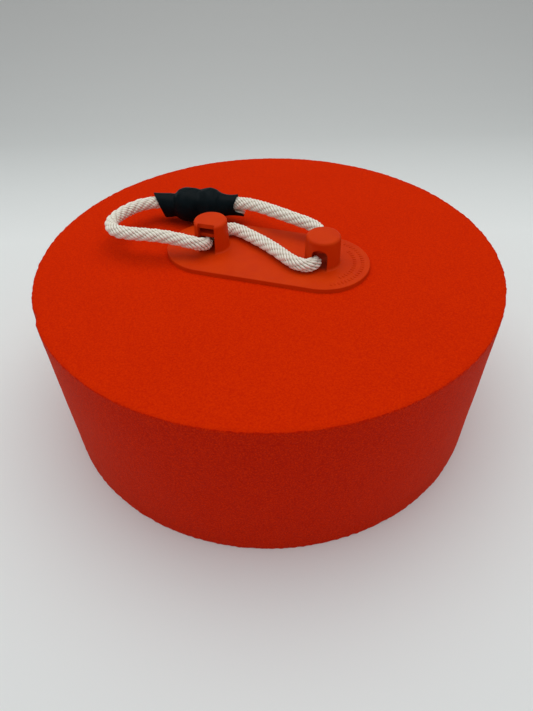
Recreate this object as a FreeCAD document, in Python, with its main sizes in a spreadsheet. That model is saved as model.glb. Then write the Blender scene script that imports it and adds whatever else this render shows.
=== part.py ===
import FreeCAD, Part
import math
import os

import Sketcher

# Throw-and-fetch training bumper: a foam disc with a moulded rope plate on top, clamped through the
# foam to a flush plate underneath, and a braided rope handle that swings on the plate's two posts.
#
# Frame: +Z up, millimetres. The origin is the centre of the foam's underside. +X runs along the
# plate from the left post to the right post, and -Y is the side that the left post's slot faces.

DIMENSIONS = {
    "foam_diameter": 203.2,
    "foam_height": 75.2,
    "foam_hole_diameter": 15.0,
    "recess_depth": 2.8,
    "plate_shift": -2.35,
    "plate_radius": 20.55,
    "plate_thickness": 2.0,
    "plate_edge_round": 0.35,
    "post_spacing": 50.4,
    "post_diameter": 15.4,
    "post_height": 13.0,
    "post_draft": 1.8,
    "post_top_round": 1.3,
    "post_base_round": 1.0,
    "cavity_diameter": 10.6,
    "cap_diameter": 9.6,
    "cap_thickness": 2.0,
    "shelf_level": 8.4,
    "shelf_thickness": 1.6,
    "slot_width": 7.6,
    "arch_width": 6.8,
    "arch_height": 9.6,
    "peg_diameter": 12.0,
    "peg_length": 18.0,
    "dash_height": 0.2,
    "dash_width": 0.5,
    "dash_length": 1.5,
    "outer_dash_radius": 17.4,
    "inner_dash_radius": 14.0,
    "back_radius": 18.0,
    "back_thickness": 2.2,
    "back_gap": 0.2,
    "boss_height": 7.6,
    "counterbore_diameter": 9.8,
    "counterbore_depth": 5.2,
    "screw_diameter": 4.0,
    "screw_hole_diameter": 4.4,
    "screw_head_diameter": 7.6,
    "screw_head_height": 2.6,
    "screw_length": 58.0,
    "hex_size": 2.5,
    "hex_depth": 1.6,
    "washer_diameter": 9.0,
    "washer_thickness": 0.8,
    "insert_diameter": 5.6,
    "insert_length": 8.0,
    "insert_clearance": 0.03,
    "tube_diameter": 14.6,
    "tube_bore": 12.4,
    "rope_diameter": 6.2,
    "sleeve_wall": 0.9,
    "sleeve_angle": 11.5,
    "sleeve_left": -58.4,
    "sleeve_depth": 16.3,
    "sleeve_level": 83.65,
    "knot_diameter": 12.4,
    "knot_length": 8.0,
    "knot_round": 2.8,
    "left_knot_at": 13.2,
    "right_knot_at": 23.2,
    "sleeve_length": 36.6,
    "left_tail_radius": 5.1,
    "left_tail_lift": 1.2,
    "right_tail_radius": 4.5,
    "right_tail_lift": 0.8,
    "tail_clearance": 0.2,
    "tail_recess": 2.2,
    "tail_reach": 3.2,
}

# The rope's route, chosen point by point: out of the left post's slot, round the loop's tip and
# into the sleeve; out of the right post's back slot and into the sleeve's other end; and across
# the plate from the left post's back arch to the right post's front arch. The left and right
# routes start at the centres of their ball ends, and the handle swings about those two points.
LEFT_ROUTE = [
    (-25.2, -12.6, 83.0), (-31.0, -13.2, 84.0), (-38.2, -14.2, 85.7), (-46.8, -16.0, 86.9),
    (-56.0, -17.5, 87.1), (-64.6, -16.6, 86.7), (-70.4, -11.0, 86.3), (-71.4, -3.0, 86.1),
    (-69.3, 5.0, 86.0), (-65.6, 11.8, 85.9), (-59.6, 16.1, 85.8), (-54.2, 17.3, 85.4),
    (-50.0, 18.1, 84.9),
]
RIGHT_ROUTE = [
    (25.2, 8.9, 83.5), (22.0, 13.5, 83.8), (16.2, 15.0, 84.4), (8.4, 15.5, 85.5),
    (0.4, 17.5, 86.2), (-7.6, 20.5, 86.1), (-15.2, 23.4, 85.5), (-22.4, 24.0, 84.9),
    (-27.3, 22.8, 84.7), (-31.2, 22.0, 84.7),
]
BRIDGE_ROUTE = [
    (-25.2, -9.1, 81.0), (-25.4, -5.2, 80.3), (-25.6, 0.0, 80.2), (-25.2, 5.1, 80.4),
    (-21.8, 8.8, 80.5), (-16.8, 9.4, 80.5), (-10.2, 5.3, 80.5), (-2.4, 0.7, 80.5),
    (4.6, -3.7, 80.5), (10.4, -8.2, 80.5), (16.5, -12.2, 80.5), (22.0, -11.6, 80.5),
    (25.3, -7.0, 80.4), (25.5, -1.4, 80.2), (25.4, 2.3, 80.5), (25.2, 5.4, 82.1),
]

# Outer radius of the shrunk sleeve at places along its axis, from its left mouth to its right
# mouth: a flared mouth, two lumps over the knots with a dip between them, and a narrow neck.
SLEEVE_PROFILE = [
    (0.0, 6.3), (4.0, 6.15), (8.4, 6.75), (13.2, 8.0), (18.2, 7.7), (23.4, 7.9), (28.4, 6.3),
    (32.4, 5.5), (DIMENSIONS["sleeve_length"], 5.6),
]

doc = FreeCAD.newDocument("training_bumper")
sheet = doc.addObject("Spreadsheet::Sheet", "dims")
for row, (alias, value) in enumerate(DIMENSIONS.items(), start=1):
    sheet.set("A%d" % row, alias)
    sheet.set("B%d" % row, str(value))
    sheet.setAlias("B%d" % row, alias)
doc.recompute()

parts = []


def size(alias):
    """Value of one driving dimension."""
    return float(sheet.get(alias))


def bind(obj, **expressions):
    """Bind properties to expressions; a double underscore stands for the dot in a property path."""
    for path, expression in expressions.items():
        obj.setExpression(path.replace("__", "."), expression)


def place(obj, x="0", y="0", z="0"):
    """Bind an object's position to expressions."""
    bind(obj, Placement__Base__x=x, Placement__Base__y=y, Placement__Base__z=z)


def keep(obj, label):
    """Name a finished sub-part and list it for export."""
    obj.Label = label
    parts.append(obj)
    return obj


# ---------------------------------------------------------------- sketches and features

def new_body(label):
    body = doc.addObject("PartDesign::Body", "body_" + label)
    return keep(body, label)


def new_sketch(body, name, role="XY_Plane", x="0", y="0", z="0"):
    """Sketch on one of the body's own origin planes, moved by an offset in the sketch's frame."""
    sketch = body.newObject("Sketcher::SketchObject", name)
    plane = next(o for o in body.Origin.OriginFeatures if o.Role == role)
    sketch.AttachmentSupport = [(plane, "")]
    sketch.MapMode = "FlatFace"
    for axis, expression in (("x", x), ("y", y), ("z", z)):
        sketch.setExpression("AttachmentOffset.Base." + axis, expression)
    return sketch


def constrain(sketch, kind, *where, expression=None):
    """Add a constraint; a dimension starts at 1 and is bound to its expression at once."""
    if expression is None:
        return sketch.addConstraint(Sketcher.Constraint(kind, *where))
    value = sketch.evalExpression(expression)
    value = float(getattr(value, "Value", value))
    index = sketch.addConstraint(Sketcher.Constraint(kind, *where, value))
    sketch.setExpression("Constraints[%d]" % index, expression)
    return index


ORIGIN = (-1, 1)
X_AXIS = -1
Y_AXIS = -2
START, END, CENTRE = 1, 2, 3


def circle(sketch, radius):
    """Circle about the sketch's origin."""
    index = sketch.addGeometry(Part.Circle(FreeCAD.Vector(), FreeCAD.Vector(0, 0, 1), 1))
    constrain(sketch, "Coincident", index, CENTRE, *ORIGIN)
    constrain(sketch, "Radius", index, expression=radius)


def circle_pair(sketch, radius):
    """Two equal circles on the X axis, centred on the two posts."""
    half = size("post_spacing") / 2
    right = sketch.addGeometry(Part.Circle(FreeCAD.Vector(half), FreeCAD.Vector(0, 0, 1), 1))
    left = sketch.addGeometry(Part.Circle(FreeCAD.Vector(-half), FreeCAD.Vector(0, 0, 1), 1))
    constrain(sketch, "PointOnObject", right, CENTRE, X_AXIS)
    constrain(sketch, "Symmetric", left, CENTRE, right, CENTRE, *ORIGIN)
    constrain(sketch, "Equal", left, right)
    constrain(sketch, "DistanceX", *ORIGIN, right, CENTRE, expression="dims.post_spacing / 2")
    constrain(sketch, "Radius", right, expression=radius)


def stadium(sketch, radius):
    """Straight-sided outline with round ends centred on the two posts."""
    half = size("post_spacing") / 2
    end = float(sketch.evalExpression(radius))
    up = FreeCAD.Vector(0, 0, 1)
    right_circle = Part.Circle(FreeCAD.Vector(half), up, end)
    left_circle = Part.Circle(FreeCAD.Vector(-half), up, end)
    right = sketch.addGeometry(Part.ArcOfCircle(right_circle, -math.pi / 2, math.pi / 2))
    left = sketch.addGeometry(Part.ArcOfCircle(left_circle, math.pi / 2, 3 * math.pi / 2))
    corners = [FreeCAD.Vector(x, y) for x, y in ((half, end), (-half, end), (-half, -end), (half, -end))]
    top = sketch.addGeometry(Part.LineSegment(corners[0], corners[1]))
    bottom = sketch.addGeometry(Part.LineSegment(corners[2], corners[3]))
    constrain(sketch, "Tangent", right, END, top, START)
    constrain(sketch, "Tangent", top, END, left, START)
    constrain(sketch, "Tangent", left, END, bottom, START)
    constrain(sketch, "Tangent", bottom, END, right, START)
    constrain(sketch, "Horizontal", top)
    constrain(sketch, "Symmetric", left, CENTRE, right, CENTRE, *ORIGIN)
    constrain(sketch, "DistanceX", *ORIGIN, right, CENTRE, expression="dims.post_spacing / 2")
    constrain(sketch, "Radius", right, expression=radius)


def rectangle(sketch, width, height):
    """Upright rectangle that stands on the sketch's origin, centred on its vertical axis."""
    corners = [FreeCAD.Vector(x, y) for x, y in ((-1, 0), (1, 0), (1, 2), (-1, 2))]
    lines = [sketch.addGeometry(Part.LineSegment(corners[i], corners[(i + 1) % 4])) for i in range(4)]
    for i in range(4):
        constrain(sketch, "Coincident", lines[i], END, lines[(i + 1) % 4], START)
    for i in (0, 2):
        constrain(sketch, "Horizontal", lines[i])
    constrain(sketch, "Vertical", lines[1])
    constrain(sketch, "Vertical", lines[3])
    constrain(sketch, "Symmetric", lines[0], START, lines[0], END, *ORIGIN)
    constrain(sketch, "DistanceX", lines[0], START, lines[0], END, expression=width)
    constrain(sketch, "DistanceY", lines[1], START, lines[1], END, expression=height)


def arch(sketch, width, height):
    """Upright opening that stands on the sketch's origin: straight sides and a round top."""
    radius = float(sketch.evalExpression(width)) / 2
    spring = float(sketch.evalExpression(height)) - radius
    feet = [FreeCAD.Vector(-radius, 0), FreeCAD.Vector(radius, 0)]
    shoulders = [FreeCAD.Vector(-radius, spring), FreeCAD.Vector(radius, spring)]
    floor = sketch.addGeometry(Part.LineSegment(feet[0], feet[1]))
    right = sketch.addGeometry(Part.LineSegment(feet[1], shoulders[1]))
    crown_circle = Part.Circle(FreeCAD.Vector(0, spring), FreeCAD.Vector(0, 0, 1), radius)
    crown = sketch.addGeometry(Part.ArcOfCircle(crown_circle, 0, math.pi))
    left = sketch.addGeometry(Part.LineSegment(shoulders[0], feet[0]))
    constrain(sketch, "Coincident", floor, END, right, START)
    constrain(sketch, "Tangent", right, END, crown, START)
    constrain(sketch, "Tangent", crown, END, left, START)
    constrain(sketch, "Coincident", left, END, floor, START)
    constrain(sketch, "Vertical", right)
    constrain(sketch, "Horizontal", floor)
    constrain(sketch, "Symmetric", floor, START, floor, END, *ORIGIN)
    constrain(sketch, "DistanceX", floor, START, floor, END, expression=width)
    constrain(sketch, "DistanceY", right, START, right, END, expression="%s - (%s) / 2" % (height, width))


def feature(body, kind, name, sketch, length, backwards=False, taper=None):
    """Pad or pocket of a sketch, checked to change the body's volume the right way."""
    doc.recompute()
    before = body.Shape.Volume if body.Tip else 0.0
    item = body.newObject("PartDesign::" + kind, name)
    item.Profile = sketch
    item.Reversed = backwards
    item.setExpression("Length", length)
    if taper:
        item.setExpression("TaperAngle", taper)
    doc.recompute()
    change = body.Shape.Volume - before
    if change * (1 if kind == "Pad" else -1) <= 0:
        raise RuntimeError("%s changes the volume by %.2f" % (name, change))
    return item


def fillet(body, name, radius, wanted):
    """Round the edges of the body's last feature that a test picks out."""
    doc.recompute()
    base = body.Tip
    names = ["Edge%d" % i for i, edge in enumerate(base.Shape.Edges, start=1) if wanted(edge)]
    item = body.newObject("PartDesign::Fillet", name)
    item.Base = (base, names)
    item.setExpression("Radius", radius)
    doc.recompute()
    return item


def level(edge, height):
    """Whether an edge lies flat at a height."""
    box = edge.BoundBox
    return abs(box.ZMin - height) < 1e-4 and abs(box.ZMax - height) < 1e-4


# ---------------------------------------------------------------- foam and plates

def make_foam_disc():
    """Closed-cell disc with two through holes and a shallow recess for the back plate."""
    body = new_body("foam_disc")
    outline = new_sketch(body, "foam_outline")
    circle(outline, "dims.foam_diameter / 2")
    feature(body, "Pad", "foam_block", outline, "dims.foam_height")
    recess = new_sketch(body, "foam_recess_outline", y="dims.plate_shift")
    stadium(recess, "dims.back_radius + dims.back_gap")
    feature(body, "Pocket", "foam_recess", recess, "dims.recess_depth", backwards=True)
    holes = new_sketch(body, "foam_hole_outline", y="dims.plate_shift")
    circle_pair(holes, "dims.foam_hole_diameter / 2")
    feature(body, "Pocket", "foam_holes", holes, "dims.foam_height", backwards=True)


def cut_opening(body, name, shape, side, facing, reach, **outline):
    """Cut one opening through a post's wall, from outside the wall to a distance off its axis.

    side is -1 for the left post and 1 for the right one; facing is -1 for -Y and 1 for +Y.
    """
    outside = "dims.post_diameter"
    sketch = new_sketch(body, name + "_outline", "XZ_Plane",
                        x="%d * dims.post_spacing / 2" % side,
                        y="dims.plate_thickness",
                        z="%d * %s" % (-facing, outside))
    shape(sketch, **outline)
    feature(body, "Pocket", name, sketch, "%s - (%s)" % (outside, reach), backwards=facing > 0)


def make_dashes(body, name, radius, count, span):
    """A row of raised dashes round the plate's right end, at one radius from the post."""
    sketch = new_sketch(body, name + "_outline", x="dims.post_spacing / 2",
                        z="dims.plate_thickness - 0.2")
    sketch.setExpression("AttachmentOffset.Rotation.Angle", str(-90 - span / 2))
    corners = [FreeCAD.Vector(x, y) for x, y in ((-1, 10), (1, 10), (1, 11), (-1, 11))]
    lines = [sketch.addGeometry(Part.LineSegment(corners[i], corners[(i + 1) % 4])) for i in range(4)]
    for i in range(4):
        constrain(sketch, "Coincident", lines[i], END, lines[(i + 1) % 4], START)
    constrain(sketch, "Horizontal", lines[2])
    constrain(sketch, "Vertical", lines[1])
    constrain(sketch, "Vertical", lines[3])
    constrain(sketch, "Symmetric", lines[0], START, lines[0], END, Y_AXIS)
    constrain(sketch, "DistanceX", lines[0], START, lines[0], END, expression="dims.dash_width")
    constrain(sketch, "DistanceY", lines[1], START, lines[1], END, expression="dims.dash_length")
    constrain(sketch, "DistanceY", *ORIGIN, lines[0], START, expression=radius)
    dash = feature(body, "Pad", name + "_one", sketch, "dims.dash_height + 0.2")
    ring = body.newObject("PartDesign::PolarPattern", name)
    ring.Originals = [dash]
    ring.Axis = (sketch, ["N_Axis"])
    ring.Angle = span
    ring.Occurrences = count
    body.Tip = ring
    doc.recompute()


def make_rope_plate():
    """Stadium plate with two hollow rope posts on top and two pegs that reach into the foam.

    A shelf across each post's hollow presses on the rope that passes under it, and the left slot
    is open at the top, where it notches the cap.
    """
    body = new_body("rope_plate")
    place(body, y="dims.plate_shift", z="dims.foam_height")
    outline = new_sketch(body, "plate_outline")
    stadium(outline, "dims.plate_radius")
    feature(body, "Pad", "plate", outline, "dims.plate_thickness")
    fillet(body, "plate_edge", "dims.plate_edge_round",
           lambda edge: level(edge, size("plate_thickness")))
    pegs = new_sketch(body, "peg_outline")
    circle_pair(pegs, "dims.peg_diameter / 2")
    feature(body, "Pad", "pegs", pegs, "dims.peg_length", backwards=True)
    posts = new_sketch(body, "post_outline", z="dims.plate_thickness")
    circle_pair(posts, "dims.post_diameter / 2")
    feature(body, "Pad", "posts", posts, "dims.post_height", taper="-dims.post_draft")
    post_top = size("plate_thickness") + size("post_height")
    fillet(body, "post_rims", "dims.post_top_round", lambda edge: level(edge, post_top))
    foot = math.pi * size("post_diameter")
    fillet(body, "post_feet", "dims.post_base_round",
           lambda edge: level(edge, size("plate_thickness")) and abs(edge.Length - foot) < 0.01)
    floor = "dims.plate_thickness"
    shelf_top = "dims.shelf_level + dims.shelf_thickness"
    ceiling = "dims.plate_thickness + dims.post_height - dims.cap_thickness"
    for name, low, high in (("cavities", floor, "dims.shelf_level"), ("hollow_tops", shelf_top, ceiling)):
        cavities = new_sketch(body, name + "_outline", z=low)
        circle_pair(cavities, "dims.cavity_diameter / 2")
        feature(body, "Pocket", name, cavities, "(%s) - (%s)" % (high, low), backwards=True)
    bores = new_sketch(body, "insert_bore_outline", z="-dims.peg_length")
    circle_pair(bores, "dims.insert_diameter / 2")
    feature(body, "Pocket", "insert_bores", bores, "dims.peg_length - dims.plate_thickness",
            backwards=True)
    inside = "dims.cavity_diameter / 2 - 1.5"
    for name, side, facing in (("left_arch", -1, 1), ("right_arch", 1, -1)):
        cut_opening(body, name, arch, side, facing, inside,
                    width="dims.arch_width", height="dims.arch_height")
    for name, side, facing in (("left_slot", -1, -1), ("right_slot", 1, 1)):
        cut_opening(body, name, rectangle, side, facing, inside,
                    width="dims.slot_width", height="dims.post_height - dims.cap_thickness")
    cut_opening(body, "left_slot_rim", rectangle, -1, -1, "dims.cap_diameter / 2",
                width="dims.slot_width", height="dims.post_height + 1")
    make_dashes(body, "outer_dashes", "dims.outer_dash_radius - dims.dash_length / 2", 25, 132)
    make_dashes(body, "inner_dashes", "dims.inner_dash_radius - dims.dash_length / 2", 15, 92)


def make_back_plate():
    """Flush plate under the foam, with a counterbored boss below each post."""
    body = new_body("back_plate")
    place(body, y="dims.plate_shift", z="dims.recess_depth - dims.back_thickness")
    outline = new_sketch(body, "back_outline")
    stadium(outline, "dims.back_radius")
    feature(body, "Pad", "back", outline, "dims.back_thickness")
    bosses = new_sketch(body, "boss_outline")
    circle_pair(bosses, "dims.tube_diameter / 2")
    feature(body, "Pad", "bosses", bosses, "dims.boss_height")
    counterbores = new_sketch(body, "counterbore_outline")
    circle_pair(counterbores, "dims.counterbore_diameter / 2")
    feature(body, "Pocket", "counterbores", counterbores, "dims.counterbore_depth", backwards=True)
    holes = new_sketch(body, "screw_hole_outline")
    circle_pair(holes, "dims.screw_hole_diameter / 2")
    feature(body, "Pocket", "screw_holes", holes, "dims.boss_height", backwards=True)


# ---------------------------------------------------------------- clamping hardware

BACK_FACE = "dims.recess_depth - dims.back_thickness"
SEAT = BACK_FACE + " + dims.counterbore_depth"
BOSS_TOP = BACK_FACE + " + dims.boss_height"


def ring(name, outer, inner, height):
    """Plain ring, as one cylinder cut from another."""
    outside = doc.addObject("Part::Cylinder", name + "_outside")
    bind(outside, Radius=outer, Height=height)
    inside = doc.addObject("Part::Cylinder", name + "_inside")
    bind(inside, Radius=inner, Height=height)
    cut = doc.addObject("Part::Cut", name)
    cut.Base = outside
    cut.Tool = inside
    return cut


def make_screw(side, x):
    """Socket-head screw, driven up from below."""
    body = new_body("clamp_screw_" + side)
    place(body, x=x, y="dims.plate_shift", z=SEAT + " - dims.washer_thickness")
    head = new_sketch(body, "head_outline_" + side)
    circle(head, "dims.screw_head_diameter / 2")
    feature(body, "Pad", "head_" + side, head, "dims.screw_head_height", backwards=True)
    shank = new_sketch(body, "shank_outline_" + side)
    circle(shank, "dims.screw_diameter / 2")
    feature(body, "Pad", "shank_" + side, shank, "dims.screw_length")
    socket = new_sketch(body, "socket_outline_" + side, z="-dims.screw_head_height")
    corners = [FreeCAD.Vector(math.cos(math.radians(60 * i)), math.sin(math.radians(60 * i)))
               for i in range(6)]
    lines = [socket.addGeometry(Part.LineSegment(corners[i], corners[(i + 1) % 6])) for i in range(6)]
    rim = socket.addGeometry(Part.Circle(FreeCAD.Vector(), FreeCAD.Vector(0, 0, 1), 1))
    socket.setConstruction(rim, True)
    constrain(socket, "Coincident", rim, CENTRE, *ORIGIN)
    for i in range(6):
        constrain(socket, "Coincident", lines[i], END, lines[(i + 1) % 6], START)
        constrain(socket, "PointOnObject", lines[i], START, rim)
        if i:
            constrain(socket, "Equal", lines[0], lines[i])
    constrain(socket, "PointOnObject", lines[0], START, X_AXIS)
    constrain(socket, "Radius", rim, expression="dims.hex_size / sqrt(3)")
    feature(body, "Pocket", "socket_" + side, socket, "dims.hex_depth", backwards=True)


def make_clamp(side, sign):
    """Everything that clamps one post's end of the plates through the foam."""
    x = "%d * dims.post_spacing / 2" % sign
    make_screw(side, x)
    washer = keep(ring("washer_" + side, "dims.washer_diameter / 2",
                       "dims.screw_hole_diameter / 2", "dims.washer_thickness"),
                  "screw_washer_" + side)
    place(washer, x=x, y="dims.plate_shift", z=SEAT + " - dims.washer_thickness")
    insert = keep(ring("insert_" + side, "dims.insert_diameter / 2",
                       "dims.screw_diameter / 2 + dims.insert_clearance", "dims.insert_length"),
                  "threaded_insert_" + side)
    place(insert, x=x, y="dims.plate_shift", z="dims.foam_height - dims.peg_length")
    tube = keep(ring("tube_" + side, "dims.tube_diameter / 2", "dims.tube_bore / 2",
                     "dims.foam_height - (%s)" % BOSS_TOP),
                "spacer_tube_" + side)
    place(tube, x=x, y="dims.plate_shift", z=BOSS_TOP)


# ---------------------------------------------------------------- rope handle

def rounded_path(name, route):
    """Straight runs joined by tangent arcs, each as large as its two runs allow."""
    points = [FreeCAD.Vector(*p) for p in route]
    edges = []
    last = points[0]
    radii = []
    for before, corner, after in zip(points, points[1:], points[2:]):
        come = (before - corner).normalize()
        leave = (after - corner).normalize()
        turn = math.pi - come.getAngle(leave)
        setback = 0.45 * min(corner.distanceToPoint(before), corner.distanceToPoint(after))
        radius = setback / math.tan(turn / 2)
        radii.append(radius)
        first = corner + come * setback
        second = corner + leave * setback
        centre = corner + (come + leave).normalize() * (radius / math.cos(turn / 2))
        middle = centre + (corner - centre).normalize() * radius
        edges.append(Part.LineSegment(last, first).toShape())
        edges.append(Part.Arc(first, middle, second).toShape())
        last = second
    edges.append(Part.LineSegment(last, points[-1]).toShape())
    path = Part.Wire(edges)
    print("%s: length %.1f, radii %s" % (name, path.Length, " ".join("%.1f" % r for r in radii)))
    return path


def make_rope(label, route, ball_end=False):
    """Round rope along a route; a ball end turns about its own centre in the post's mouth."""
    radius = size("rope_diameter") / 2
    path = rounded_path(label, route)
    start = FreeCAD.Vector(*route[0])
    along = (FreeCAD.Vector(*route[1]) - start).normalize()
    section = Part.Wire(Part.Circle(start, along, radius).toShape())
    tube = path.makePipeShell([section], True, True)
    expected = math.pi * radius ** 2 * path.Length
    if abs(tube.Volume / expected - 1) > 0.01:
        raise RuntimeError("%s has volume %.1f, not %.1f" % (label, tube.Volume, expected))
    if ball_end:
        tube = tube.fuse(Part.makeSphere(radius, start)).removeSplitter().Solids[0]
    rope = doc.addObject("Part::Feature", label)
    rope.Shape = tube
    rope.Placement = FreeCAD.Placement()
    keep(rope, label)


def along_sleeve(obj, distance="0"):
    """Place an object that is built along its own Z axis on the sleeve's axis."""
    bind(obj, Placement__Rotation__Axis__x="sin(dims.sleeve_angle) * -1",
         Placement__Rotation__Axis__y="cos(dims.sleeve_angle)",
         Placement__Rotation__Axis__z="0")
    obj.setExpression("Placement.Rotation.Angle", "90 deg")
    place(obj,
          x="dims.sleeve_left + (%s) * cos(dims.sleeve_angle)" % distance,
          y="dims.sleeve_depth + (%s) * sin(dims.sleeve_angle)" % distance,
          z="dims.sleeve_level")


def make_sleeve():
    """Heat-shrunk tube: the profile and its inner offset, turned about the sleeve's axis."""
    body = new_body("shrink_sleeve")
    along_sleeve(body)
    sketch = new_sketch(body, "sleeve_profile", "XZ_Plane")
    wall = size("sleeve_wall")
    outer = [FreeCAD.Vector(radius, distance) for distance, radius in SLEEVE_PROFILE]
    inner = [FreeCAD.Vector(point.x - wall, point.y) for point in outer]
    for points in (outer, inner):
        curve = Part.BSplineCurve()
        curve.interpolate(points)
        sketch.addGeometry(curve)
    sketch.addGeometry(Part.LineSegment(inner[0], outer[0]))
    sketch.addGeometry(Part.LineSegment(inner[-1], outer[-1]))
    turned = body.newObject("PartDesign::Revolution", "sleeve_shell")
    turned.Profile = sketch
    turned.ReferenceAxis = (sketch, ["V_Axis"])
    turned.Angle = 360


def make_knot(side, centre):
    """One of the two knots that join the rope's ends, hidden under a lump of the sleeve."""
    barrel = doc.addObject("Part::Cylinder", "knot_barrel_" + side)
    bind(barrel, Radius="dims.knot_diameter / 2", Height="dims.knot_length")
    doc.recompute()
    rounded = doc.addObject("Part::Fillet", "knot_" + side)
    rounded.Base = barrel
    radius = size("knot_round")
    rims = [i for i, edge in enumerate(barrel.Shape.Edges, start=1) if edge.Closed]
    rounded.Edges = [(i, radius, radius) for i in rims]
    keep(rounded, "rope_knot_" + side)
    along_sleeve(rounded, "%s - dims.knot_length / 2" % centre)


def make_tail(side, start, end):
    """Rope end that the sleeve squeezes to a crescent under the standing rope."""
    radius = "dims.%s_tail_radius" % side
    length = "(%s) - (%s)" % (end, start)
    body = doc.addObject("Part::Cylinder", "tail_body_" + side)
    bind(body, Radius=radius, Height=length)
    groove = doc.addObject("Part::Cylinder", "tail_groove_" + side)
    bind(groove, Radius="dims.rope_diameter / 2 + dims.tail_clearance", Height=length)
    place(groove, x="-dims.%s_tail_lift" % side)
    upper = doc.addObject("Part::Box", "tail_upper_" + side)
    bind(upper, Length=radius, Width="2 * " + radius, Height=length)
    place(upper, x="-" + radius, y="-" + radius)
    tool = doc.addObject("Part::Fuse", "tail_tool_" + side)
    tool.Base = groove
    tool.Tool = upper
    tail = doc.addObject("Part::Cut", "tail_" + side)
    tail.Base = body
    tail.Tool = tool
    keep(tail, "rope_tail_" + side)
    along_sleeve(tail, start)


make_foam_disc()
make_rope_plate()
make_back_plate()
make_clamp("left", -1)
make_clamp("right", 1)
make_rope("rope_bridge", BRIDGE_ROUTE)
make_rope("rope_loop_left", LEFT_ROUTE, ball_end=True)
make_rope("rope_loop_right", RIGHT_ROUTE, ball_end=True)
make_sleeve()
make_knot("left", "dims.left_knot_at")
make_knot("right", "dims.right_knot_at")
make_tail("left", "dims.tail_recess", "dims.left_knot_at - dims.knot_length / 2")
make_tail("right", "dims.right_knot_at + dims.knot_length / 2", "dims.sleeve_length + dims.tail_reach")
doc.recompute()

broken = [o.Name for o in doc.Objects if {"Invalid", "Error"} & set(o.State)]
broken += [p.Label for p in parts if p.Shape.isNull() or not p.Shape.isValid()]
if broken:
    raise RuntimeError("failed: " + ", ".join(broken))

os.makedirs("parts", exist_ok=True)
for part in parts:
    part.Shape.exportStep("parts/%s.step" % part.Label)
    print("%s: %d solid(s), %.1f mm3" % (part.Label, len(part.Shape.Solids), part.Shape.Volume))
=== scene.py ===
import math
import random

import bmesh
import bpy
import numpy as np
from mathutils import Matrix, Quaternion, Vector, noise
from mathutils.geometry import delaunay_2d_cdt


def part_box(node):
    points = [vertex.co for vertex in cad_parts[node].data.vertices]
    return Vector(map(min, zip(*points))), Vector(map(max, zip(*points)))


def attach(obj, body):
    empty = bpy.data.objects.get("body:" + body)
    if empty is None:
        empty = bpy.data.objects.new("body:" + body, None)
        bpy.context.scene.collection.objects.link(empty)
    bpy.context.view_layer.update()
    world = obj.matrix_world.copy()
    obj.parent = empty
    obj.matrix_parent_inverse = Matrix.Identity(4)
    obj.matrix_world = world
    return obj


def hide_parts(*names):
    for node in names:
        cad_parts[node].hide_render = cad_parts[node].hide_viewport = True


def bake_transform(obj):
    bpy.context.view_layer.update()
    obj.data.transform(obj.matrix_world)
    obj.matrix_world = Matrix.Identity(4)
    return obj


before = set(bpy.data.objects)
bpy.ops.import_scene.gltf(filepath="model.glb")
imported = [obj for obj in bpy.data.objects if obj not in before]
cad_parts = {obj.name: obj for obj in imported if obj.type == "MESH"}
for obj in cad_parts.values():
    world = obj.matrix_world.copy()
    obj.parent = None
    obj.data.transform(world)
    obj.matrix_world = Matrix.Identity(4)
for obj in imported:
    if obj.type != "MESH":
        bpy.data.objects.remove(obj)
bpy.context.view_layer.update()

# Training bumper: foam disc, moulded rope plate, braided rope handle and its shrunk sleeve.
# Row frame: metres, +Z up, +X from the left post to the right post, -Y towards the left slot.

MM = 0.001
CAMERA_PLACE = (0.05994, -0.19780, 0.20823)
CAMERA_TARGET = (-0.00545, 0.01214, 0.0)
CAMERA_ROLL = -1.3228
CAMERA_LENS = 27.3
STAGE_TURN = math.radians(17.3)
RNG = random.Random(7)


# ---------------------------------------------------------------- camera, floor and light

def aim(obj, target, roll=0.0):
    """Point an object's -Z at a target, then roll it about its own view axis."""
    way = Vector(target) - obj.location
    own_roll = Quaternion((0, 0, 1), math.radians(roll))
    obj.rotation_mode = "QUATERNION"
    obj.rotation_quaternion = way.to_track_quat("-Z", "Y") @ own_roll


def make_camera():
    data = bpy.data.cameras.new("camera")
    data.lens = CAMERA_LENS
    data.clip_start = 0.01
    camera = bpy.data.objects.new("camera", data)
    bpy.context.scene.collection.objects.link(camera)
    camera.location = CAMERA_PLACE
    aim(camera, CAMERA_TARGET, CAMERA_ROLL)
    bpy.context.scene.camera = camera


def area_light(name, place, target, width, height, power, colour=(1, 1, 1)):
    data = bpy.data.lights.new(name, "AREA")
    data.shape = "RECTANGLE"
    data.size, data.size_y = width, height
    data.energy = power
    data.color = colour
    light = bpy.data.objects.new(name, data)
    bpy.context.scene.collection.objects.link(light)
    light.location = place
    aim(light, target)


# ---------------------------------------------------------------- materials

def node(material, kind, inputs=None, **settings):
    """Add a shader node; an input that is a socket is linked, and any other is set."""
    made = material.node_tree.nodes.new(kind)
    for name, value in settings.items():
        setattr(made, name, value)
    for name, value in (inputs or {}).items():
        socket = made.inputs[name]
        if isinstance(value, bpy.types.NodeSocket):
            material.node_tree.links.new(value, socket)
        else:
            socket.default_value = value
    return made


def mixed(material, value, factor, added):
    """value * factor + added."""
    return node(material, "ShaderNodeMath", {0: value, 1: factor, 2: added},
                operation="MULTIPLY_ADD").outputs[0]


def own_coordinates(material):
    return node(material, "ShaderNodeTexCoord").outputs["Object"]


def ramp(material, fac, stops):
    """Colour ramp of (place, colour) stops."""
    made = node(material, "ShaderNodeValToRGB", {"Fac": fac})
    elements = made.color_ramp.elements
    while len(elements) < len(stops):
        elements.new(0.5)
    for element, (place, colour) in zip(elements, stops):
        element.position = place
        element.color = (*colour, 1.0)
    return made.outputs["Color"]


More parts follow.
